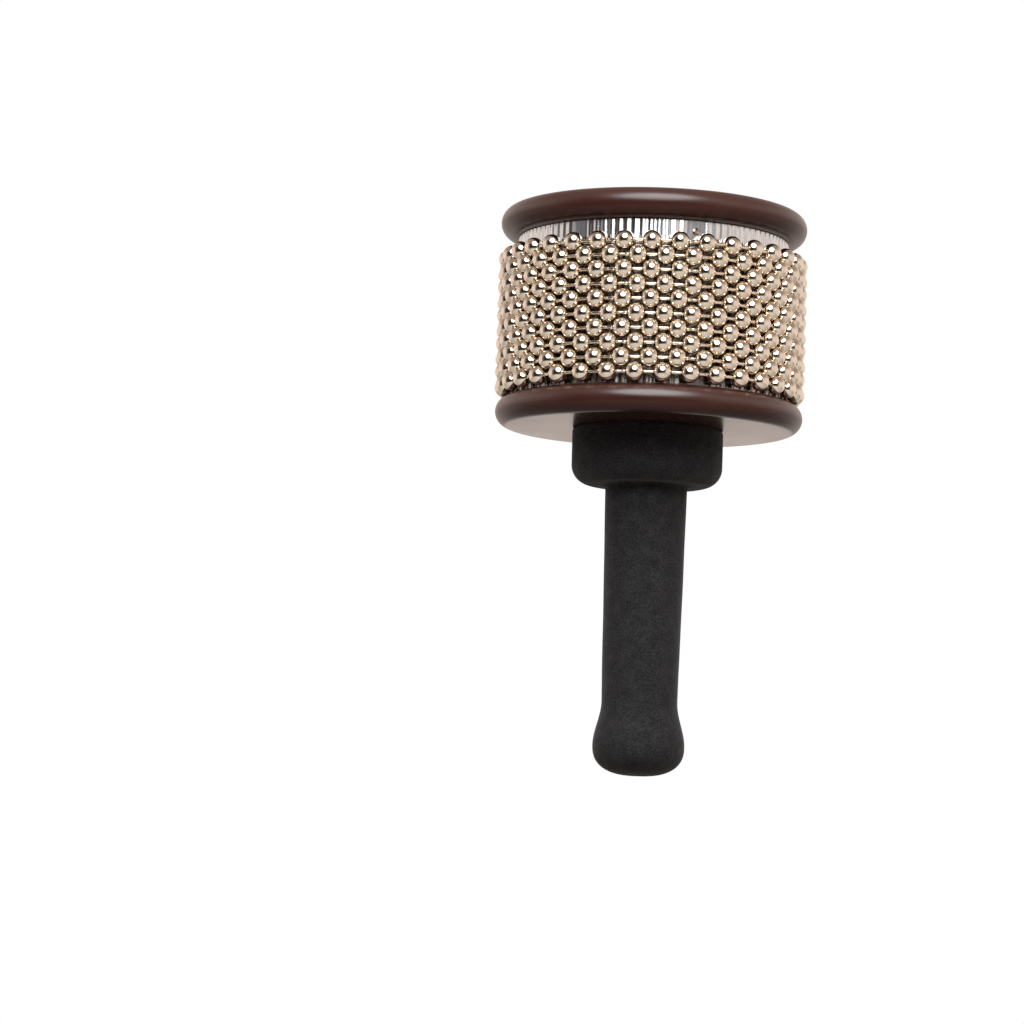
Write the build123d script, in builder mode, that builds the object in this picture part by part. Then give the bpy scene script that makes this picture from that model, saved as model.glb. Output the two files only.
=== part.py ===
from build123d import *
from math import cos, pi, radians, sin, sqrt, tan
import os

# A hand-held cabasa: closed loops of ball chain lie loose round a ribbed metal
# sleeve on a wooden drum, between two round-edged wooden flanges, and one long
# bolt holds the drum on a foam-covered handle. Millimetres, +Z up, handle down,
# the drum's axis on Z, the origin on that axis in the middle of the hand grip.
os.makedirs("parts", exist_ok=True)

# Drum: wooden core, two flanges and the ribbed sleeve wrapped round the core
flange_dia = 88.2
flange_thickness = 8.3
flange_overhang = 6.2  # flange edge beyond the core, so that the chain lies level with it
sheet_gauge = 0.45
rib_height = 0.5
rib_pitch = 2.23
sleeve_fit = 0.1  # sleeve bore to core, and sleeve ends to flanges
lap_width = 5.0  # flat seam where the ends of the sheet lap and are tacked
lap_angle = 18.0  # seam, in degrees to the right of the front

# Ball chain: bead and link sizes, and how the loops lie on the sleeve
bead_dia = 5.3
bead_length = 4.8  # across the two pierced ends, along the chain
bead_end_width = 3.8  # across the corners of a flat end
link_length = 2.94  # bare stretch of a link between two beads
link_width = 1.4  # across the corners of a link
loop_count = 10
bead_clearance = 0.3  # beads to rib crests, and to either flange
nest_clearance = 0.33  # beads of one loop to those of the next
lift_travel = 3.8  # how far the top loop can rise to the top flange

# Sleeve tacks: square cut shanks with flat eight-sided heads
tack_head_dia = 1.8
tack_head_height = 0.2
tack_shank_width = 1.0
tack_length = 9.0
tack_inset = 3.2  # tack to the nearer end of the sleeve
tack_fit = 0.05

# Tie bolt with washer and threaded insert
bolt_dia = 6.0
bolt_head_flats = 10.0
bolt_head_height = 4.0
bolt_clearance = 0.3
washer_dia = 16.0
washer_thickness = 1.2
recess_dia = 18.4
recess_spare = 0.3  # bolt head below the flange's top face
insert_dia = 8.0
insert_length = 13.0
insert_fit = 0.05
bolt_end_spare = 1.0  # bolt end short of the insert's lower end

# Handle: turned wooden core inside one moulded foam grip with a closed butt
handle_length = 99.0  # bottom flange to the end of the butt
mount_drop = 49.0  # bottom flange to the middle of the grip
spigot_dia = 14.0
spigot_depth = 12.0  # how far the spigot stands in the drum
spigot_fit = 0.1
shoulder_dia = 32.0
shoulder_height = 9.0
stem_dia = 15.0
stem_end_gap = 7.0  # foam beyond the end of the stem
stem_bevel = 1.5
foam_fit = 0.1
collar_dia = 43.4
collar_height = 16.0
collar_top_bevel = 0.8
collar_round = 5.5
grip_top_dia = 23.6
grip_low_dia = 21.8
butt_dia = 25.8
butt_height = 8.4  # widest ring of the butt above its end
flare_height = 8.6
butt_round = 5.6

# Heights worked out from the sizes above
core_radius = flange_dia / 2 - flange_overhang
sleeve_inner = core_radius + sleeve_fit
rib_root = sleeve_inner + sheet_gauge
rib_crest = rib_root + rib_height
rib_count = round((2 * pi * rib_root - lap_width) / rib_pitch)
bead_circle = rib_crest + bead_clearance + bead_dia / 2
bead_count = round(2 * pi * bead_circle / (bead_length + link_length))
half_step = 180 / bead_count  # degrees from a bead to the link beside it
half_chord = 2 * bead_circle * sin(radians(half_step / 2))
row_pitch = sqrt((bead_dia + nest_clearance) ** 2 - half_chord**2)
pack_height = (loop_count - 1) * row_pitch + bead_dia
core_length = pack_height + lift_travel + 2 * bead_clearance
flange_low = mount_drop
core_low = flange_low + flange_thickness
core_high = core_low + core_length
top_face = core_high + flange_thickness
top_row = core_low + bead_clearance + bead_dia / 2 + (loop_count - 1) * row_pitch
spigot_top = core_low + spigot_depth
washer_seat = top_face - recess_spare - bolt_head_height - washer_thickness
butt_end = flange_low - handle_length
stem_end = butt_end + stem_end_gap
front = -90  # the front of the instrument faces -Y


def flange_profile(low):
    # Half section of a flange, from its axis out to the fully rounded rim
    high = low + flange_thickness
    flat = (flange_dia - flange_thickness) / 2
    with BuildLine() as outline:
        Polyline((0, high), (0, low), (flat, low))
        ThreePointArc((flat, low), (flange_dia / 2, (low + high) / 2), (flat, high))
        Line((flat, high), (0, high))
    return outline.line


# Top flange, recessed for the head of the tie bolt
with BuildPart() as top_flange:
    with BuildSketch(Plane.XZ):
        add(flange_profile(core_high))
        make_face()
    revolve(axis=Axis.Z)
    with Locations((0, 0, top_face)):
        CounterBoreHole(
            radius=bolt_dia / 2 + bolt_clearance,
            counter_bore_radius=recess_dia / 2,
            counter_bore_depth=top_face - washer_seat,
        )
top_flange.part.label = "top_flange"
export_step(top_flange.part, "parts/top_flange.step")

# Bottom flange, bored for the spigot of the handle
with BuildPart() as bottom_flange:
    with BuildSketch(Plane.XZ):
        add(flange_profile(flange_low))
        make_face()
    revolve(axis=Axis.Z)
    with Locations((0, 0, core_low)):
        Hole(radius=spigot_dia / 2 + spigot_fit)
bottom_flange.part.label = "bottom_flange"
export_step(bottom_flange.part, "parts/bottom_flange.step")


def lap_plane(distance, height):
    # Plane square to the seam, looking outwards, at a distance from the axis
    turn = radians(lap_angle)
    outward = Vector(sin(turn), -cos(turn), 0)
    return Plane(origin=outward * distance + Vector(0, 0, height), x_dir=(0, 0, 1), z_dir=outward)


# The flat of the seam is a chord between the two rib roots beside it
lap_half_angle = lap_width / rib_root / 2
lap_flat = rib_root * cos(lap_half_angle)
lap_face = lap_flat + sheet_gauge
tack_heights = (core_low + tack_inset, core_high - tack_inset)

# Drum core, with a through bore, a socket for the spigot and two tack holes
with BuildPart() as drum_core:
    with Locations((0, 0, core_low)):
        Cylinder(core_radius, core_length, align=(Align.CENTER, Align.CENTER, Align.MIN))
    with Locations((0, 0, core_high)):
        Hole(radius=bolt_dia / 2 + bolt_clearance)
    with BuildSketch(Plane.XY.offset(core_low)):
        Circle(spigot_dia / 2 + spigot_fit)
    extrude(amount=spigot_depth + spigot_fit, mode=Mode.SUBTRACT)
    for height in tack_heights:
        with BuildSketch(lap_plane(lap_face, height)):
            Rectangle(tack_shank_width + 2 * tack_fit, tack_shank_width + 2 * tack_fit)
        extrude(amount=-(tack_length + tack_fit), mode=Mode.SUBTRACT)
drum_core.part.label = "drum_core"
export_step(drum_core.part, "parts/drum_core.step")


def rib_points():
    # Zigzag of ribs round the drum from one side of the seam to the other, then
    # the lap: the end of the sheet lies one gauge proud along the seam
    start = radians(front + lap_angle) + lap_half_angle
    step = (2 * pi - 2 * lap_half_angle) / (2 * rib_count)
    points = []
    for index in range(2 * rib_count + 1):
        radius = rib_crest if index % 2 else rib_root
        angle = start + index * step
        points.append((radius * cos(angle), radius * sin(angle)))
    lift = lap_face / lap_flat
    points.append((points[-1][0] * lift, points[-1][1] * lift))
    points.append((points[0][0] * lift, points[0][1] * lift))
    return points


# Ribbed sleeve: sheet metal pressed into ribs, wrapped once round the core
with BuildPart() as ribbed_sleeve:
    with BuildSketch(Plane.XY.offset(core_low + sleeve_fit)):
        with BuildLine():
            Polyline(*rib_points(), close=True)
        make_face()
        RegularPolygon(sleeve_inner, rib_count // 2, major_radius=False, mode=Mode.SUBTRACT)
    extrude(amount=core_length - 2 * sleeve_fit)
    for height in tack_heights:
        with BuildSketch(lap_plane(lap_face, height)):
            Rectangle(tack_shank_width + 2 * tack_fit, tack_shank_width + 2 * tack_fit)
        extrude(amount=sheet_gauge + lap_face - sleeve_inner, both=True, mode=Mode.SUBTRACT)
ribbed_sleeve.part.label = "ribbed_sleeve"
export_step(ribbed_sleeve.part, "parts/ribbed_sleeve.step")

# Sleeve tacks, one under each flange, driven through the lap into the core
with BuildPart() as sleeve_tacks:
    for height in tack_heights:
        with BuildSketch(lap_plane(lap_face, height)):
            RegularPolygon(tack_head_dia / 2, 8)
        extrude(amount=tack_head_height)
        with BuildSketch(lap_plane(lap_face, height)):
            Rectangle(tack_shank_width, tack_shank_width)
        extrude(amount=-tack_length)
sleeve_tacks.part.label = "sleeve_tacks"
export_step(sleeve_tacks.part, "parts/sleeve_tacks.step")

# Handle core: spigot, shoulder and stem turned from one piece of wood
with BuildPart() as handle_core:
    with BuildSketch(Plane.XZ):
        with BuildLine():
            Polyline(
                (0, stem_end),
                (stem_dia / 2 - stem_bevel, stem_end),
                (stem_dia / 2, stem_end + stem_bevel),
                (stem_dia / 2, flange_low - shoulder_height),
                (shoulder_dia / 2, flange_low - shoulder_height),
                (shoulder_dia / 2, flange_low),
                (spigot_dia / 2, flange_low),
                (spigot_dia / 2, spigot_top),
                (0, spigot_top),
                close=True,
            )
        make_face()
    revolve(axis=Axis.Z)
    with Locations((0, 0, spigot_top)):
        Hole(radius=insert_dia / 2 + insert_fit, depth=insert_length)
handle_core.part.label = "handle_core"
export_step(handle_core.part, "parts/handle_core.step")

# Threaded insert, flush with the top of the spigot
with BuildPart() as threaded_insert:
    with BuildSketch(Plane.XY.offset(spigot_top)):
        Circle(insert_dia / 2)
        Circle(bolt_dia / 2 + insert_fit, mode=Mode.SUBTRACT)
    extrude(amount=-insert_length)
threaded_insert.part.label = "threaded_insert"
export_step(threaded_insert.part, "parts/threaded_insert.step")

# Washer at the bottom of the flange's recess
with BuildPart() as bolt_washer:
    with BuildSketch(Plane.XY.offset(washer_seat)):
        Circle(washer_dia / 2)
        Circle(bolt_dia / 2 + bolt_clearance, mode=Mode.SUBTRACT)
    extrude(amount=washer_thickness)
bolt_washer.part.label = "bolt_washer"
export_step(bolt_washer.part, "parts/bolt_washer.step")

# Tie bolt, hexagon head up, reaching down into the insert
head_seat = washer_seat + washer_thickness
bolt_end = spigot_top - insert_length + bolt_end_spare
with BuildPart() as tie_bolt:
    with BuildSketch(Plane.XY.offset(head_seat)):
        RegularPolygon(bolt_head_flats / 2, 6, major_radius=False)
    extrude(amount=bolt_head_height)
    with BuildSketch(Plane.XY.offset(head_seat)):
        Circle(bolt_dia / 2)
    extrude(amount=bolt_end - head_seat)
tie_bolt.part.label = "tie_bolt"
export_step(tie_bolt.part, "parts/tie_bolt.step")

# Foam grip: collar under the flange, tapered grip and closed, swollen butt
collar_low = flange_low - collar_height
bend = tan(radians(22.5))  # a round edge is drawn as two equal bevels
with BuildPart() as foam_grip:
    with BuildSketch(Plane.XZ):
        with BuildLine():
            Polyline(
                (0, butt_end),
                (butt_dia / 2 - butt_round, butt_end),
                (butt_dia / 2 - butt_round * bend, butt_end + butt_round * bend),
                (butt_dia / 2, butt_end + butt_height),
                (grip_low_dia / 2, butt_end + butt_height + flare_height),
                (grip_top_dia / 2, collar_low),
                (collar_dia / 2 - collar_round, collar_low),
                (collar_dia / 2 - collar_round * bend, collar_low + collar_round * bend),
                (collar_dia / 2, collar_low + collar_round),
                (collar_dia / 2, flange_low - collar_top_bevel),
                (collar_dia / 2 - collar_top_bevel, flange_low),
                (0, flange_low),
                close=True,
            )
        make_face()
        with BuildLine():
            Polyline(
                (0, stem_end - foam_fit),
                (stem_dia / 2 + foam_fit, stem_end - foam_fit),
                (stem_dia / 2 + foam_fit, flange_low - shoulder_height - foam_fit),
                (shoulder_dia / 2 + foam_fit, flange_low - shoulder_height - foam_fit),
                (shoulder_dia / 2 + foam_fit, flange_low),
                (0, flange_low),
                close=True,
            )
        make_face(mode=Mode.SUBTRACT)
    revolve(axis=Axis.Z)
foam_grip.part.label = "foam_grip"
export_step(foam_grip.part, "parts/foam_grip.step")


def bead_flats():
    # The bead is a ball cut to flats. Four corners lie on its girth, in line with
    # the drum's radius and height, and three round the flat at each pierced end.
    girth = [Vector(bead_dia / 2, 0, 0).rotate(Axis.Y, 90 * k) for k in range(4)]
    flats = []
    for side in (-1, 1):
        corner = Vector(bead_end_width / 2, side * bead_length / 2, 0)
        end = [corner.rotate(Axis.Y, 120 * k) for k in range(3)]
        flats += [
            (girth[0], girth[1], end[0]),
            (girth[1], end[0], end[1]),
            (girth[1], girth[2], end[1]),
            (girth[2], end[1], end[2]),
            (girth[2], girth[3], end[2]),
            (girth[3], end[2], end[0]),
            (girth[3], girth[0], end[0]),
        ]
    return flats


# One bead on the X axis: the chain runs along Y there, the drum's radius along X
bead_centre = Vector(bead_circle, 0, 0)
with BuildPart() as bead:
    with Locations(bead_centre):
        Box(bead_dia, bead_length, bead_dia)
    for a, b, c in bead_flats():
        normal = (b - a).cross(c - a).normalized()
        if normal.dot(a) < 0:
            normal = -normal
        split(bisect_by=Plane(origin=bead_centre + a, z_dir=normal), keep=Keep.BOTTOM)

# One link on the X axis, half a step from the beads on either side of it, with
# its ends mitred to lie flat against the flat ends of those two beads
with BuildPart() as link:
    with BuildSketch(Plane(origin=(bead_circle * cos(radians(half_step)), 0, 0), z_dir=(0, 1, 0))):
        RegularPolygon(link_width / 2, 3)
    extrude(amount=half_chord, both=True)
    for side in (-1, 1):
        centre = bead_centre.rotate(Axis.Z, side * half_step)
        along = Vector(0, -side, 0).rotate(Axis.Z, side * half_step)
        split(
            bisect_by=Plane(origin=centre + along * (bead_length / 2), z_dir=along),
            keep=Keep.TOP,
        )

# Bead loops, counted from the top: each is a closed ring of beads and links, and
# every second loop is turned half a step so that its beads nest between the next
for number in range(1, loop_count + 1):
    height = top_row - (number - 1) * row_pitch
    first_bead = front + (number + 1) % 2 * half_step
    with BuildPart(Plane.XY.offset(height)) as loop_beads:
        with PolarLocations(0, bead_count, first_bead):
            add(bead.part)
    loop_beads.part.label = f"loop_{number:02d}_beads"
    export_step(loop_beads.part, f"parts/loop_{number:02d}_beads.step")
    with BuildPart(Plane.XY.offset(height)) as loop_links:
        with PolarLocations(0, bead_count, first_bead + half_step):
            add(link.part)
    loop_links.part.label = f"loop_{number:02d}_links"
    export_step(loop_links.part, f"parts/loop_{number:02d}_links.step")

print("beads in a loop", bead_count, "ribs", rib_count)
print("row pitch", round(row_pitch, 3), "core length", round(core_length, 2))
print("overall length", round(top_face - butt_end, 1))
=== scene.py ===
import bmesh
import bpy
import math
import random
from mathutils import Matrix, Vector


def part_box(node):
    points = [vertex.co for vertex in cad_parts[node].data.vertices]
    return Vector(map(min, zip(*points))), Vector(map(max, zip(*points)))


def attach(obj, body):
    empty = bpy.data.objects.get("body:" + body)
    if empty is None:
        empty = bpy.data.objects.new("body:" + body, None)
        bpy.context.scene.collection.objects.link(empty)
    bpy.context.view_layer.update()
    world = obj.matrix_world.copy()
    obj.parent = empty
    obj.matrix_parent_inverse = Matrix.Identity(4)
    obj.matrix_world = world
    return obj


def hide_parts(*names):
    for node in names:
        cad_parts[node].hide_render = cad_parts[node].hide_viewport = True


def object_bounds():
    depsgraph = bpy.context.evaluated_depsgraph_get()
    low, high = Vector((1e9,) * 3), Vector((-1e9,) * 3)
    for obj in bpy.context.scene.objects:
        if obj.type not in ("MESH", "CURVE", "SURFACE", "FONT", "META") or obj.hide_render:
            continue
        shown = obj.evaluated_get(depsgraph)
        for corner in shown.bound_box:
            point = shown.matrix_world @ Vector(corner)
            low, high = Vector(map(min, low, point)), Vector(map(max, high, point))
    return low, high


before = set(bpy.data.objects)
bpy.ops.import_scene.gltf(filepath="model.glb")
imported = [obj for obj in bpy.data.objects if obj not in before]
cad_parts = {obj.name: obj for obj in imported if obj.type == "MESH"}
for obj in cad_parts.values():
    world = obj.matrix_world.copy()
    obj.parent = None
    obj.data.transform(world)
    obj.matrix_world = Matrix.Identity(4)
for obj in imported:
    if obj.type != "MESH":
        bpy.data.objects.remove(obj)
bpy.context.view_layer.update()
mm = 0.001
print("frame loaded,", len(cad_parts), "nodes")


# Mesh helpers


def makePiece(name, verts, faces, sharpAngle=None):
    mesh = bpy.data.meshes.new(name)
    mesh.from_pydata([tuple(v) for v in verts], [], faces)
    mesh.validate()
    work = bmesh.new()
    work.from_mesh(mesh)
    bmesh.ops.recalc_face_normals(work, faces=work.faces)  # every closed piece faces outwards
    work.to_mesh(mesh)
    work.free()
    mesh.shade_smooth()
    if sharpAngle:
        mesh.set_sharp_from_angle(angle=math.radians(sharpAngle))
    piece = bpy.data.objects.new(name, mesh)
    bpy.context.collection.objects.link(piece)
    return piece


def fitPiece(piece, body, slot, material, *nodes):
    # material, body and the CAD nodes that this piece stands for
    piece.data.materials.append(material)
    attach(piece, body)
    if nodes:
        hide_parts(*nodes)
    return piece


def arc(centre, radius, start, end, steps):
    # points (r, z) on a turned profile, angles in degrees from the outward direction
    points = []
    for k in range(steps + 1):
        a = math.radians(start + (end - start) * k / steps)
        points.append((centre[0] + radius * math.cos(a), centre[1] + radius * math.sin(a)))
    return points


def turned(profile, segments, wobble=None):
    # closed ring profile (r, z) turned about Z; points on the axis share one vertex
    verts, rings = [], []
    for r, z in profile:
        if r < 1e-7:
            verts.append((0, 0, z))
            rings.append([len(verts) - 1] * segments)
            continue
        ring = []
        for k in range(segments):
            a = 2 * math.pi * k / segments
            rr = r + (wobble(r, a, z) if wobble else 0)
            verts.append((rr * math.cos(a), rr * math.sin(a), z))
            ring.append(len(verts) - 1)
        rings.append(ring)
    faces = []
    for i in range(len(rings)):
        low, high = rings[i], rings[(i + 1) % len(rings)]
        for k in range(segments):
            n = (k + 1) % segments
            corners = []
            for v in (low[k], low[n], high[n], high[k]):
                if v not in corners:
                    corners.append(v)
            if len(corners) > 2:
                faces.append(corners)
    return verts, faces


# Material helpers


def newMaterial(name):
    material = bpy.data.materials.new(name)
    material.use_nodes = True
    tree = material.node_tree
    return material, tree, tree.nodes["Principled BSDF"]


def addNode(tree, kind, **settings):
    node = tree.nodes.new(kind)
    for key, value in settings.items():
        setattr(node, key, value)
    return node


def stretched(tree, scale):
    # object coordinates, scaled per axis
    coord = addNode(tree, "ShaderNodeTexCoord")
    mapping = addNode(tree, "ShaderNodeMapping")
    mapping.inputs["Scale"].default_value = scale
    tree.links.new(coord.outputs["Object"], mapping.inputs["Vector"])
    return mapping.outputs["Vector"]


def noise(tree, vector, scale, detail=3.0, roughness=0.5):
    node = addNode(tree, "ShaderNodeTexNoise")
    node.inputs["Scale"].default_value = scale
    node.inputs["Detail"].default_value = detail
    node.inputs["Roughness"].default_value = roughness
    tree.links.new(vector, node.inputs["Vector"])
    return node.outputs["Fac"]


def spread(tree, value, low, high, fromLow=0.3, fromHigh=0.7):
    node = addNode(tree, "ShaderNodeMapRange")
    node.inputs["From Min"].default_value = fromLow
    node.inputs["From Max"].default_value = fromHigh
    node.inputs["To Min"].default_value = low
    node.inputs["To Max"].default_value = high
    tree.links.new(value, node.inputs["Value"])
    return node.outputs["Result"]


def tones(tree, value, stops):
    # colour ramp from (place, colour) stops
    node = addNode(tree, "ShaderNodeValToRGB")
    ramp = node.color_ramp
    while len(ramp.elements) < len(stops):
        ramp.elements.new(0.5)
    for element, (place, colour) in zip(ramp.elements, stops):
        element.position = place
        element.color = (*colour, 1)
    tree.links.new(value, node.inputs["Fac"])
    return node.outputs["Color"]


def addBump(tree, shader, value, strength, depth):
    node = addNode(tree, "ShaderNodeBump")
    node.inputs["Strength"].default_value = strength
    node.inputs["Distance"].default_value = depth
    tree.links.new(value, node.inputs["Height"])
    tree.links.new(node.outputs["Normal"], shader.inputs["Normal"])


def nickelFinish():
    material, tree, shader = newMaterial("polished nickel")
    place = stretched(tree, (1, 1, 1))
    smudge = noise(tree, place, 260, 4, 0.6)
    tint = tones(tree, smudge, [(0.3, (0.735, 0.64, 0.53)), (0.7, (0.805, 0.715, 0.605))])
    tree.links.new(tint, shader.inputs["Base Color"])
    tree.links.new(spread(tree, smudge, 0.08, 0.13), shader.inputs["Roughness"])
    shader.inputs["Metallic"].default_value = 1
    addBump(tree, shader, noise(tree, place, 1500, 2), 0.05, 0.02 * mm)
    return material


def steelFinish(lowEnd, highEnd):
    material, tree, shader = newMaterial("pressed steel sheet")
    streaks = noise(tree, stretched(tree, (1, 1, 0.04)), 2600, 3, 0.6)
    bright = tones(tree, streaks, [(0.3, (0.5, 0.52, 0.55)), (0.7, (0.84, 0.85, 0.86))])
    # painted shade: the sheet is darkened to a dull brown from its lower end up to just above the chain,
    # standing for the shade and dark reflections under and between the beads
    height = addNode(tree, "ShaderNodeSeparateXYZ")
    tree.links.new(stretched(tree, (1, 1, 1)), height.inputs["Vector"])
    paintedChainShade = tones(tree, spread(tree, height.outputs["Z"], 0, 1, lowEnd, highEnd),
                   [(0.0, (0.8, 0.8, 0.8)), (0.05, (1, 1, 1)), (0.84, (1, 1, 1)), (0.9, (0, 0, 0))])
    tint = addNode(tree, "ShaderNodeMix", data_type="RGBA", blend_type="MULTIPLY")
    # brown colour that the painted shade under the chain multiplies in
    tint.inputs["B"].default_value = (0.32, 0.28, 0.245, 1)
    tree.links.new(paintedChainShade, tint.inputs["Factor"])
    tree.links.new(bright, tint.inputs["A"])
    tree.links.new(tint.outputs["Result"], shader.inputs["Base Color"])
    tree.links.new(spread(tree, streaks, 0.16, 0.26), shader.inputs["Roughness"])
    shader.inputs["Metallic"].default_value = 1
    # rolled along the strip, so that reflections smear up and down
    lay = addNode(tree, "ShaderNodeTangent", direction_type="RADIAL", axis="Z")
    tree.links.new(lay.outputs["Tangent"], shader.inputs["Tangent"])
    shader.inputs["Anisotropic"].default_value = 0.4
    shader.inputs["Anisotropic Rotation"].default_value = 0.25
    addBump(tree, shader, streaks, 0.3, 0.02 * mm)
    return material


def lacquerFinish(underGloss, underRough):
    material, tree, shader = newMaterial("brown satin lacquer")
    grain = noise(tree, stretched(tree, (0.12, 1, 1)), 420, 5, 0.62)
    cloudy = noise(tree, stretched(tree, (1, 1, 1)), 45, 3)
    peel = noise(tree, stretched(tree, (1, 1, 1)), 1300, 2)
    tint = tones(tree, grain, [(0.3, (0.050, 0.0150, 0.0104)), (0.72, (0.064, 0.0212, 0.0150))])
    tree.links.new(tint, shader.inputs["Base Color"])
    # gloss set by which way the surface faces: the rims shine above, their lower sides lose most of their
    # gloss as painted shade, and the flat underside takes the gloss given per flange
    normal = addNode(tree, "ShaderNodeNewGeometry")
    facing = addNode(tree, "ShaderNodeSeparateXYZ")
    tree.links.new(normal.outputs["Normal"], facing.inputs["Vector"])
    upward = spread(tree, facing.outputs["Z"], 0, 1, -1, 1)
    glossAndPaintedShade = tones(tree, upward, [(0.005, (underGloss,) * 3), (0.04, (0.13,) * 3),
                                 (0.4, (0.15,) * 3), (0.6, (0.5,) * 3)])
    tree.links.new(glossAndPaintedShade, shader.inputs["Specular IOR Level"])
    rough = addNode(tree, "ShaderNodeMath", operation="MULTIPLY")
    tree.links.new(spread(tree, cloudy, 0.28, 0.34), rough.inputs[0])
    tree.links.new(tones(tree, upward, [(0.005, (underRough,) * 3), (0.04, (1,) * 3)]), rough.inputs[1])
    tree.links.new(rough.outputs["Value"], shader.inputs["Roughness"])
    shader.inputs["IOR"].default_value = 1.62
    addBump(tree, shader, peel, 0.008, 0.02 * mm)
    return material


def foamFinish():
    material, tree, shader = newMaterial("black foam")
    place = stretched(tree, (1, 1, 1))
    cells = addNode(tree, "ShaderNodeTexVoronoi", feature="F1")
    cells.inputs["Scale"].default_value = 1900
    tree.links.new(place, cells.inputs["Vector"])
    patches = noise(tree, place, 320, 4, 0.6)
    mixed = addNode(tree, "ShaderNodeMath", operation="MULTIPLY")
    tree.links.new(cells.outputs["Distance"], mixed.inputs[0])
    tree.links.new(spread(tree, patches, 0.7, 1.3), mixed.inputs[1])
    tint = tones(tree, mixed.outputs["Value"],
                 [(0.06, (0.058, 0.056, 0.0565)), (0.3, (0.027, 0.0256, 0.026)),
                  (0.8, (0.014, 0.0131, 0.0133))])
    tree.links.new(tint, shader.inputs["Base Color"])
    tree.links.new(spread(tree, patches, 0.78, 0.95), shader.inputs["Roughness"])
    shader.inputs["Specular IOR Level"].default_value = 0.25
    shader.inputs["Sheen Weight"].default_value = 0.14
    shader.inputs["Sheen Roughness"].default_value = 0.4
    addBump(tree, shader, mixed.outputs["Value"], 0.5, 0.12 * mm)
    return material


def zincFinish():
    material, tree, shader = newMaterial("zinc plate")
    cloudy = noise(tree, stretched(tree, (1, 1, 1)), 700, 4, 0.6)
    tint = tones(tree, cloudy, [(0.3, (0.52, 0.53, 0.55)), (0.7, (0.66, 0.67, 0.68))])
    tree.links.new(tint, shader.inputs["Base Color"])
    tree.links.new(spread(tree, cloudy, 0.26, 0.42), shader.inputs["Roughness"])
    shader.inputs["Metallic"].default_value = 1
    addBump(tree, shader, noise(tree, stretched(tree, (1, 1, 1)), 3000, 2), 0.1, 0.02 * mm)
    return material


def tackFinish():
    material, tree, shader = newMaterial("darkened tack steel")
    rust = noise(tree, stretched(tree, (1, 1, 1)), 1100, 4, 0.65)
    tint = tones(tree, rust, [(0.42, (0.52, 0.4, 0.34)), (0.54, (0.07, 0.042, 0.032))])
    tree.links.new(tint, shader.inputs["Base Color"])
    tree.links.new(spread(tree, rust, 0.22, 0.4), shader.inputs["Roughness"])
    shader.inputs["Metallic"].default_value = 1
    addBump(tree, shader, rust, 0.6, 0.06 * mm)
    return material


def woodFinish():
    material, tree, shader = newMaterial("bare turned wood")
    grain = noise(tree, stretched(tree, (1, 1, 0.08)), 700, 5, 0.6)
    tint = tones(tree, grain, [(0.3, (0.36, 0.22, 0.115)), (0.7, (0.52, 0.35, 0.2))])
    tree.links.new(tint, shader.inputs["Base Color"])
    tree.links.new(spread(tree, grain, 0.5, 0.7), shader.inputs["Roughness"])
    addBump(tree, shader, grain, 0.15, 0.05 * mm)
    return material


def brassFinish():
    material, tree, shader = newMaterial("machined brass")
    turnedMarks = noise(tree, stretched(tree, (0.2, 0.2, 1)), 2400, 3)
    tint = tones(tree, turnedMarks, [(0.3, (0.60, 0.42, 0.17)), (0.7, (0.75, 0.56, 0.26))])
    tree.links.new(tint, shader.inputs["Base Color"])
    tree.links.new(spread(tree, turnedMarks, 0.22, 0.36), shader.inputs["Roughness"])
    shader.inputs["Metallic"].default_value = 1
    return material


nickel = nickelFinish()
steel = steelFinish(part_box("ribbed_sleeve")[0].z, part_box("ribbed_sleeve")[1].z)
# the top flange's flat underside gets almost no gloss, painted shade where it meets the sleeve
topLacquerShadedUnderside = lacquerFinish(0.1, 1)
bottomLacquer = lacquerFinish(0.9, 0.75)
foam = foamFinish()
zinc = zincFinish()
tackSteel = tackFinish()
bareWood = woodFinish()
brass = brassFinish()
print("finishes made")


# Ball chain: round hollow beads with a flat lip round each hole, joined by wire links

chain = {
    "loops": 10,
    "beads": 34,
    "length": 5.28 * mm,  # across the two pierced ends
    "swell": 0.07 * mm,  # a round bead stands a little fuller than its cut flats
    "hole": 0.58 * mm,
    "lip": 0.1 * mm,
    "linkRadius": 0.54 * mm,
    "linkSegments": 12,
    "sway": 0.025 * mm,  # how unevenly the beads lie
    "segments": 26,
    "rings": 14,
}


def beadProfile(radius):
    # half section (r, y) from the bottom of one hole to the bottom of the other
    end = chain["length"] / 2
    hole, lip = chain["hole"], chain["lip"]
    tilt = math.acos((end - 0.25 * lip) / radius)
    side = [(hole, end - 4 * lip), (hole, end - lip), (hole + 0.3 * lip, end - 0.3 * lip), (hole + lip, end)]
    ball = []
    for k in range(chain["rings"] + 1):
        a = tilt + (math.pi - 2 * tilt) * k / chain["rings"]
        ball.append((radius * math.sin(a), radius * math.cos(a)))
    return side + ball + [(r, -y) for r, y in reversed(side)]


def barProfile(length):
    # a link: wire a little thicker where it enters the beads
    r = chain["linkRadius"]
    half = length / 2
    return [(r * 0.9, -half), (r * 1.08, -half * 0.6), (r * 1.02, -half * 0.42), (r * 0.97, 0),
            (r * 1.02, half * 0.42), (r * 1.08, half * 0.6), (r * 0.9, half)]


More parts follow.
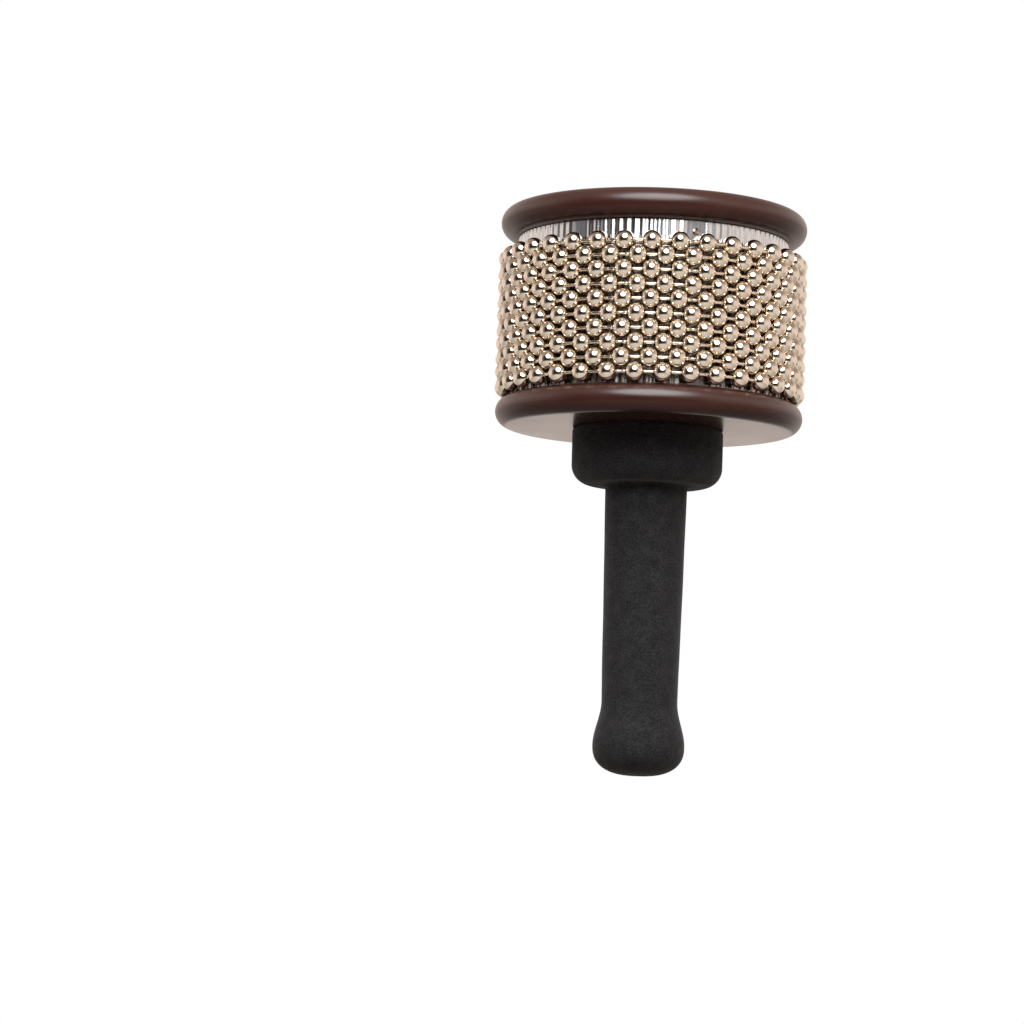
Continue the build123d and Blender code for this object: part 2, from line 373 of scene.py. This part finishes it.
def sweepAlong(profile, segments, centre, along, verts, faces):
    # turned profile (r, y) set at centre with its axis along the chain, closed at both ends
    side = along.cross(Vector((0, 0, 1))).normalized()
    up = side.cross(along).normalized()
    first = len(verts)
    for r, y in profile:
        for k in range(segments):
            a = 2 * math.pi * k / segments
            verts.append(centre + along * y + side * (r * math.cos(a)) + up * (r * math.sin(a)))
    for i in range(len(profile) - 1):
        for k in range(segments):
            n = (k + 1) % segments
            a, b = first + i * segments, first + (i + 1) * segments
            faces.append((a + k, a + n, b + n, b + k))
    last = first + (len(profile) - 1) * segments
    faces.append(tuple(first + k for k in reversed(range(segments))))
    faces.append(tuple(last + k for k in range(segments)))


def beadCentres(number, low, high, circle):
    dice = random.Random(number)
    centres = []
    for k in range(chain["beads"]):
        turn = (k + 0.5 * ((number + 1) % 2)) * 2 * math.pi / chain["beads"] - math.pi / 2
        turn += dice.uniform(-1, 1) * chain["sway"] / circle
        r = circle - dice.random() * chain["sway"]
        z = (low + high) / 2 + dice.uniform(-1, 1) * chain["sway"]
        centres.append(Vector((r * math.cos(turn), r * math.sin(turn), z)))
    return centres


frontLow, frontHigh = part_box("loop_01_beads")
beadRadius = (frontHigh.z - frontLow.z) / 2 + chain["swell"]
beadCircle = -frontLow.y - beadRadius
for number in range(1, chain["loops"] + 1):
    low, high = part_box(f"loop_{number:02d}_beads")
    centres = beadCentres(number, low.z, high.z, beadCircle)
    beadVerts, beadFaces, linkVerts, linkFaces = [], [], [], []
    profile = beadProfile(beadRadius)
    for k, centre in enumerate(centres):
        before, after = centres[k - 1], centres[(k + 1) % len(centres)]
        along = (after - before).normalized()
        sweepAlong(profile, chain["segments"], centre, along, beadVerts, beadFaces)
        step = after - centre
        # each link reaches a little way into the holes of both beads
        sweepAlong(barProfile(step.length - chain["length"] + 6 * chain["lip"]), chain["linkSegments"],
                   (centre + after) / 2, step.normalized(), linkVerts, linkFaces)
    body = f"loop_{number:02d}"
    fitPiece(makePiece(f"{body}_round_beads", beadVerts, beadFaces),
             body, "nickel_chain", nickel, f"{body}_beads")
    fitPiece(makePiece(f"{body}_wire_links", linkVerts, linkFaces, sharpAngle=50),
             body, "nickel_chain", nickel, f"{body}_links")
print("ball chain made,", chain["loops"], "loops of", chain["beads"], "beads")


# Ribbed sleeve: sheet pressed into round ribs, with a flat lapped seam held by tacks

sleeve = {
    "ribs": 106,
    "ribHeight": 0.2 * mm,  # rounded ribs whose sides slope by about fifteen degrees
    "wall": 0.95 * mm,  # from the crests to the face on the core
    "lapWidth": 5.0 * mm,
    "lapRise": 0.2 * mm,
    "lapAngle": math.radians(-90 + 18),
    "bandWidth": 5.4 * mm,  # a second flat band, where the ribs are pressed out
    "bandAngle": math.radians(-90 - 32),
    "bandRise": 0.06,  # share of the ribs that is left in the band
    "lapEdge": 0.12 * mm,  # how far the seam's edges drop
    "stepsPerRib": 12,
    "rollHeight": 0.12 * mm,  # the rolled ends of the sheet
    "rollDepth": 0.05 * mm,
    "plainFrom": 0.3 * mm,
}


def sleeveOutline(crest):
    # outer face of the sheet, once round from the seam's right edge to its left
    root = crest - sleeve["ribHeight"]
    lapHalf = sleeve["lapWidth"] / root / 2
    bandHalf = sleeve["bandWidth"] / root / 2
    count = sleeve["ribs"] * sleeve["stepsPerRib"]
    points = []
    for k in range(count + 1):
        a = sleeve["lapAngle"] + lapHalf + (2 * math.pi - 2 * lapHalf) * k / count
        rise = 0.5 - 0.5 * math.cos(2 * math.pi * k / sleeve["stepsPerRib"])
        if abs((a - sleeve["bandAngle"] + math.pi) % (2 * math.pi) - math.pi) < bandHalf:
            rise *= sleeve["bandRise"]
        r = root + sleeve["ribHeight"] * rise
        points.append((r * math.cos(a), r * math.sin(a)))
    # the seam lies flat and a little proud, with a step at each edge
    flat = root * math.cos(lapHalf) + sleeve["lapRise"]
    for share in (-1, -0.96, -0.5, 0, 0.5, 0.96, 1):
        a = sleeve["lapAngle"]
        across = root * math.sin(lapHalf) * share
        out = flat - (sleeve["lapEdge"] if abs(share) == 1 else 0)
        points.append((out * math.cos(a) - across * math.sin(a), out * math.sin(a) + across * math.cos(a)))
    return points


low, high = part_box("ribbed_sleeve")
crest = (high.y - low.y) / 2
outline = sleeveOutline(crest)
inner = crest - sleeve["wall"]
heights = [low.z, low.z + sleeve["rollHeight"], low.z + sleeve["plainFrom"],
           high.z - sleeve["plainFrom"], high.z - sleeve["rollHeight"], high.z]
insets = [sleeve["rollDepth"], 0, 0, 0, 0, sleeve["rollDepth"]]
sleeveVerts, sleeveFaces = [], []
for z, inset in zip(heights, insets):
    for x, y in outline:
        shrink = 1 - inset / crest
        sleeveVerts.append((x * shrink, y * shrink, z))
around = len(outline)
for i in range(len(heights) - 1):
    for k in range(around):
        n = (k + 1) % around
        sleeveFaces.append((i * around + k, i * around + n, (i + 1) * around + n, (i + 1) * around + k))
innerStart = len(sleeveVerts)
for z in (low.z, high.z):
    for x, y in outline:
        r = math.hypot(x, y)
        sleeveVerts.append((x * inner / r, y * inner / r, z))
lastRing = (len(heights) - 1) * around
for k in range(around):
    n = (k + 1) % around
    sleeveFaces.append((k, innerStart + k, innerStart + n, n))
    sleeveFaces.append((lastRing + n, innerStart + around + n, innerStart + around + k, lastRing + k))
    sleeveFaces.append((innerStart + k, innerStart + around + k, innerStart + around + n, innerStart + n))
fitPiece(makePiece("sleeve_sheet", sleeveVerts, sleeveFaces, sharpAngle=40),
         "drum_and_handle", "sleeve_steel", steel, "ribbed_sleeve")

tack = {
    "radius": 1.05 * mm,
    "height": 0.2 * mm,
    "inset": 3.2 * mm,  # from the sheet's end to the tack's middle
    "shank": 0.42 * mm,
    "length": 9.0 * mm,
    "segments": 16,
}
seamFlat = (crest - sleeve["ribHeight"]) * math.cos(sleeve["lapWidth"] / crest / 2) + sleeve["lapRise"]
outward = Vector((math.cos(sleeve["lapAngle"]), math.sin(sleeve["lapAngle"]), 0))
tackVerts, tackFaces = [], []
# shank, then the head's edge and its low dome
shank, head, dome = tack["shank"], tack["radius"], tack["height"]
shape = [(shank * 0.3, -tack["length"]), (shank, -tack["length"] * 0.8), (shank, 0),
         (head, 0), (head, dome * 0.35), (head * 0.8, dome * 0.75), (head * 0.45, dome * 0.95),
         (head * 0.1, dome)]
for z in (low.z + tack["inset"], high.z - tack["inset"]):
    sweepAlong(shape, tack["segments"], outward * seamFlat + Vector((0, 0, z)), outward, tackVerts, tackFaces)
fitPiece(makePiece("domed_tacks", tackVerts, tackFaces, sharpAngle=45),
         "drum_and_handle", "tack_steel", tackSteel, "sleeve_tacks")
print("sleeve and tacks made")


# Flanges: turned discs with a fully rounded rim

flange = {
    "segments": 180,
    "rimSteps": 28,
    "recess": 9.2 * mm,  # radius of the recess for the bolt's head
    "boltHole": 3.3 * mm,
    "spigotHole": 7.1 * mm,
    "ease": 0.3 * mm,  # rounding of the recess's edge
}


def rimArc(low, high):
    half = (high.z - low.z) / 2
    return arc((high.x - half, low.z + half), half, 90, -90, flange["rimSteps"])


low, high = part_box("top_flange")
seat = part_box("bolt_washer")[0].z
ease = flange["ease"]
profile = [(flange["boltHole"], low.z), (flange["boltHole"], seat), (flange["recess"], seat),
           (flange["recess"], high.z - ease), (flange["recess"] + 0.3 * ease, high.z - 0.3 * ease),
           (flange["recess"] + ease, high.z)] + rimArc(low, high)
fitPiece(makePiece("top_flange_turned", *turned(profile, flange["segments"]), sharpAngle=35),
         "drum_and_handle", "lacquered_wood", topLacquerShadedUnderside, "top_flange")
low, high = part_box("bottom_flange")
profile = [(flange["spigotHole"], low.z), (flange["spigotHole"], high.z)] + rimArc(low, high)
fitPiece(makePiece("bottom_flange_turned", *turned(profile, flange["segments"]), sharpAngle=35),
         "drum_and_handle", "lacquered_wood", bottomLacquer, "bottom_flange")
print("flanges made")


# Foam grip: one moulding, soft all round

grip = {
    "collarHeight": 16.0 * mm,
    "collarRound": 5.5 * mm,
    "topRound": 0.8 * mm,
    "topRadius": 11.8 * mm,
    "lowRadius": 10.9 * mm,
    "buttRadius": 13.2 * mm,
    "buttHeight": 8.4 * mm,
    "flare": 12.5 * mm,
    "stem": 7.6 * mm,
    "shoulder": 16.1 * mm,
    "shoulderDepth": 9.1 * mm,
    "coreGap": 0.1 * mm,
    "fillet": 1.2 * mm,  # between the grip and the collar
    "unevenness": 0.035 * mm,
    "buttFullness": (0.75, 0.85),  # across and along, 1 is a plain ellipse
    "buttSteps": 14,
    "flareSteps": 10,
    "gripSteps": 25,
    "segments": 120,
}


def foamWobble(r, a, z):
    # slight unevenness of moulded foam
    if r < grip["shoulder"] and z > 0.04:
        return 0
    wave = math.sin(3 * a + 90 * z) + 0.7 * math.sin(5 * a - 160 * z + 1.3) + 0.5 * math.sin(2 * a + 310 * z)
    return grip["unevenness"] * (wave - 2.2)  # never outwards


def foamProfile(low, high):
    butt, grow = grip["buttRadius"], grip["buttHeight"]
    collarLow = high.z - grip["collarHeight"]
    across, along = grip["buttFullness"]
    points = [(0, low.z)]
    # rounded butt: a full quarter of an ellipse from its end to its widest ring
    for k in range(1, grip["buttSteps"] + 1):
        a = math.radians(90 * k / grip["buttSteps"])
        points.append((butt * math.sin(a) ** across, low.z + grow * (1 - math.cos(a) ** along)))
    # waist from the butt into the straight grip
    for k in range(1, grip["flareSteps"] + 1):
        s = k / grip["flareSteps"]
        ease = s * s * (3 - 2 * s)
        points.append((butt + (grip["lowRadius"] - butt) * ease, low.z + grow + grip["flare"] * s))
    gripLow = low.z + grow + grip["flare"]
    gripLength = collarLow - grip["fillet"] - gripLow
    widen = grip["topRadius"] - grip["lowRadius"]
    for k in range(1, grip["gripSteps"] + 1):
        s = k / grip["gripSteps"]
        points.append((grip["lowRadius"] + widen * s, gripLow + gripLength * s))
    points += [(grip["topRadius"] + 0.35 * mm, collarLow - 0.35 * mm),
               (grip["topRadius"] + grip["fillet"], collarLow)]
    # the collar, rounded below and eased above
    r, top = grip["collarRound"], grip["topRound"]
    points += arc((high.x - r, collarLow + r), r, -90, 0, 12)
    points += [(high.x, collarLow + r + (grip["collarHeight"] - r - top) * s) for s in (0.3, 0.6)]
    points += arc((high.x - top, high.z - top), top, 0, 90, 5)
    # bore for the handle's core
    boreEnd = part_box("handle_core")[0].z - grip["coreGap"]
    shoulderLow = high.z - grip["shoulderDepth"]
    points += [(grip["shoulder"], high.z), (grip["shoulder"], shoulderLow), (grip["stem"], shoulderLow),
               (grip["stem"], boreEnd), (0, boreEnd)]
    return points


low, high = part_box("foam_grip")
verts, faces = turned(foamProfile(low, high), grip["segments"], foamWobble)
foamPiece = fitPiece(makePiece("moulded_foam_grip", verts, faces, sharpAngle=50),
                     "drum_and_handle", "foam", foam, "foam_grip")
print("foam grip made")


# Pieces that keep their CAD shape

kept = {
    "drum_core": bareWood,
    "handle_core": bareWood,
    "threaded_insert": brass,
    "bolt_washer": zinc,
    "tie_bolt": zinc,
}
wornEdge = 0.25 * mm
for node, material in kept.items():
    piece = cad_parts[node]
    piece.data.materials.clear()
    piece.data.materials.append(material)
    if material == zinc:
        edge = piece.modifiers.new("worn edges", "BEVEL")
        edge.width = wornEdge
        edge.segments = 2
        edge.limit_method = "ANGLE"
print("inner pieces finished")


# Studio: pale floor well below the held instrument, one large soft light, white surround

studio = {
    "floorDrop": 0.25,
    "floorRadius": 1.4,
    "floorSides": 96,
    "keyPlace": (0.03, -0.885, 0.705),
    "keySize": 1.04,
    "keyPower": 16,
    "fillBelow": 0.1,
    "fillAbove": 0.36,
    "screenRadius": 1.25,
    "screenAround": (-73, 38),  # degrees from the front, right is positive
    "screenRise": (-27, 33),
    "screenSteps": 24,
    "paleSide": (0.25, 0.968, 0),  # the pale surround lies behind and to the right
}


def floorFinish(radius):
    # pale matt floor that fades out towards its edge
    material, tree, shader = newMaterial("pale floor")
    place = stretched(tree, (1, 1, 1))
    tint = tones(tree, noise(tree, place, 3, 3), [(0.3, (0.78, 0.73, 0.68)), (0.7, (0.82, 0.77, 0.72))])
    tree.links.new(tint, shader.inputs["Base Color"])
    shader.inputs["Roughness"].default_value = 0.9
    distance = addNode(tree, "ShaderNodeVectorMath", operation="LENGTH")
    tree.links.new(place, distance.inputs[0])
    fade = spread(tree, distance.outputs["Value"], 1, 0, 0.45 * radius, 0.95 * radius)
    tree.links.new(fade, shader.inputs["Alpha"])
    return material


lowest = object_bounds()[0].z
sides = studio["floorSides"]
rim = [(studio["floorRadius"] * math.cos(a), studio["floorRadius"] * math.sin(a), 0)
       for a in (2 * math.pi * k / sides for k in range(sides))]
floor = makePiece("floor", rim, [tuple(range(sides))])
floor.location.z = lowest - studio["floorDrop"]
floor.visible_diffuse = False  # the fill alone lights the underside
floor.data.materials.append(floorFinish(studio["floorRadius"]))

keyData = bpy.data.lights.new("key", "AREA")
keyData.shape = "DISK"
keyData.size = studio["keySize"]
keyData.energy = studio["keyPower"]
key = bpy.data.objects.new("key", keyData)
bpy.context.collection.objects.link(key)
headCentre = Vector((0, 0, (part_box("bottom_flange")[0].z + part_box("top_flange")[1].z) / 2))
key.location = studio["keyPlace"]
key.rotation_euler = (headCentre - key.location).to_track_quat("-Z", "Y").to_euler()


def screenFinish():
    # dark in the middle, paler towards both ends
    material, tree, shader = newMaterial("dark screen")
    place = addNode(tree, "ShaderNodeSeparateXYZ")
    tree.links.new(stretched(tree, (1, -1, 1)), place.inputs["Vector"])
    around = addNode(tree, "ShaderNodeMath", operation="ARCTAN2")
    tree.links.new(place.outputs["X"], around.inputs[0])
    tree.links.new(place.outputs["Y"], around.inputs[1])
    start, end = (math.radians(a) for a in studio["screenAround"])
    dark = (0.06, 0.04, 0.025)
    tint = tones(tree, spread(tree, around.outputs["Value"], 0, 1, start, end),
                 [(0, (0.4, 0.4, 0.42)), (0.12, (0.3, 0.3, 0.32)), (0.25, dark), (0.75, dark),
                  (1, (0.5, 0.52, 0.56))])
    tree.links.new(tint, shader.inputs["Base Color"])
    shader.inputs["Roughness"].default_value = 1
    return material


# a curved dark screen round the front gives the polished beads their contrast
screenVerts, screenFaces = [], []
screenStart, screenEnd = studio["screenAround"]
reach = studio["screenRadius"]
for k in range(studio["screenSteps"] + 1):
    a = math.radians(screenStart + (screenEnd - screenStart) * k / studio["screenSteps"])
    for rise in studio["screenRise"]:
        screenVerts.append((reach * math.sin(a), -reach * math.cos(a),
                            headCentre.z + reach * math.tan(math.radians(rise))))
    if k:
        screenFaces.append((2 * k - 2, 2 * k, 2 * k + 1, 2 * k - 1))
screen = makePiece("dark_screen", screenVerts, screenFaces)
screen.visible_camera = False
screen.visible_shadow = False
screen.data.materials.append(screenFinish())

world = bpy.data.worlds.new("studio")
bpy.context.scene.world = world
world.use_nodes = True
tree = world.node_tree
background = tree.nodes["Background"]
rays = addNode(tree, "ShaderNodeLightPath")
coord = addNode(tree, "ShaderNodeTexCoord")
toward = addNode(tree, "ShaderNodeVectorMath", operation="DOT_PRODUCT")
toward.inputs[1].default_value = studio["paleSide"]
tree.links.new(coord.outputs["Generated"], toward.inputs[0])
# polished metal sees the pale surround behind and beside, and the dim end of the room in front
surround = tones(tree, spread(tree, toward.outputs["Value"], 0, 1, -1, 1),
                 [(0.03, (0.3, 0.3, 0.31)), (0.12, (0.36, 0.35, 0.35)), (0.25, (0.97, 0.83, 0.75)),
                  (0.5, (1, 0.86, 0.78))])
seen = addNode(tree, "ShaderNodeMath", operation="MAXIMUM")
tree.links.new(rays.outputs["Is Glossy Ray"], seen.inputs[0])
tree.links.new(rays.outputs["Is Transmission Ray"], seen.inputs[1])
bounced = addNode(tree, "ShaderNodeMix", data_type="RGBA")
upward = addNode(tree, "ShaderNodeSeparateXYZ")
tree.links.new(coord.outputs["Generated"], upward.inputs["Vector"])
# the surround is dimmer overhead
overhead = addNode(tree, "ShaderNodeMix", data_type="RGBA", blend_type="MULTIPLY")
overhead.inputs["Factor"].default_value = 1
tree.links.new(surround, overhead.inputs["A"])
skyward = spread(tree, upward.outputs["Z"], 0, 1, -1, 1)
tree.links.new(tones(tree, skyward, [(0.65, (1, 1, 1)), (0.85, (0.4, 0.38, 0.37))]), overhead.inputs["B"])
# soft fill, weaker from below
fill = spread(tree, upward.outputs["Z"], studio["fillBelow"], studio["fillAbove"], -1, 1)
tree.links.new(fill, bounced.inputs["A"])
tree.links.new(seen.outputs["Value"], bounced.inputs["Factor"])
tree.links.new(overhead.outputs["Result"], bounced.inputs["B"])
direct = addNode(tree, "ShaderNodeMix", data_type="RGBA")
direct.inputs["B"].default_value = (1, 1, 1, 1)
tree.links.new(rays.outputs["Is Camera Ray"], direct.inputs["Factor"])
tree.links.new(bounced.outputs["Result"], direct.inputs["A"])
tree.links.new(direct.outputs["Result"], background.inputs["Color"])
background.inputs["Strength"].default_value = 1
print("studio lit")


# Camera: a long lens from a little below the head, as in the photograph

shot = {
    "distance": 1.0,
    "azimuth": 0.52,  # angles in degrees
    "elevation": -8.84,
    "yaw": -2.735,
    "pitch": 5.74,
    "roll": 2.0,
    "lens": 121.8,
}
cameraData = bpy.data.cameras.new("camera")
cameraData.sensor_width = 36
cameraData.lens = shot["lens"]
camera = bpy.data.objects.new("camera", cameraData)
bpy.context.collection.objects.link(camera)
packCentre = Vector((0, 0, (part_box("loop_01_beads")[1].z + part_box("loop_10_beads")[0].z) / 2))
azimuth, elevation = math.radians(shot["azimuth"]), math.radians(shot["elevation"])
camera.location = packCentre + shot["distance"] * Vector(
    (math.sin(azimuth) * math.cos(elevation), -math.cos(azimuth) * math.cos(elevation), math.sin(elevation)))
yaw, pitch, roll = (math.radians(shot[k]) for k in ("yaw", "pitch", "roll"))
forward = Vector((math.sin(yaw) * math.cos(pitch), math.cos(yaw) * math.cos(pitch), math.sin(pitch)))
level = forward.cross(Vector((0, 0, 1))).normalized()
upright = level.cross(forward)
right = level * math.cos(roll) + upright * math.sin(roll)
up = upright * math.cos(roll) - level * math.sin(roll)
camera.rotation_euler = Matrix((right, up, -forward)).transposed().to_euler()
bpy.context.scene.camera = camera
bpy.context.scene.view_settings.view_transform = "Standard"
print("camera set")
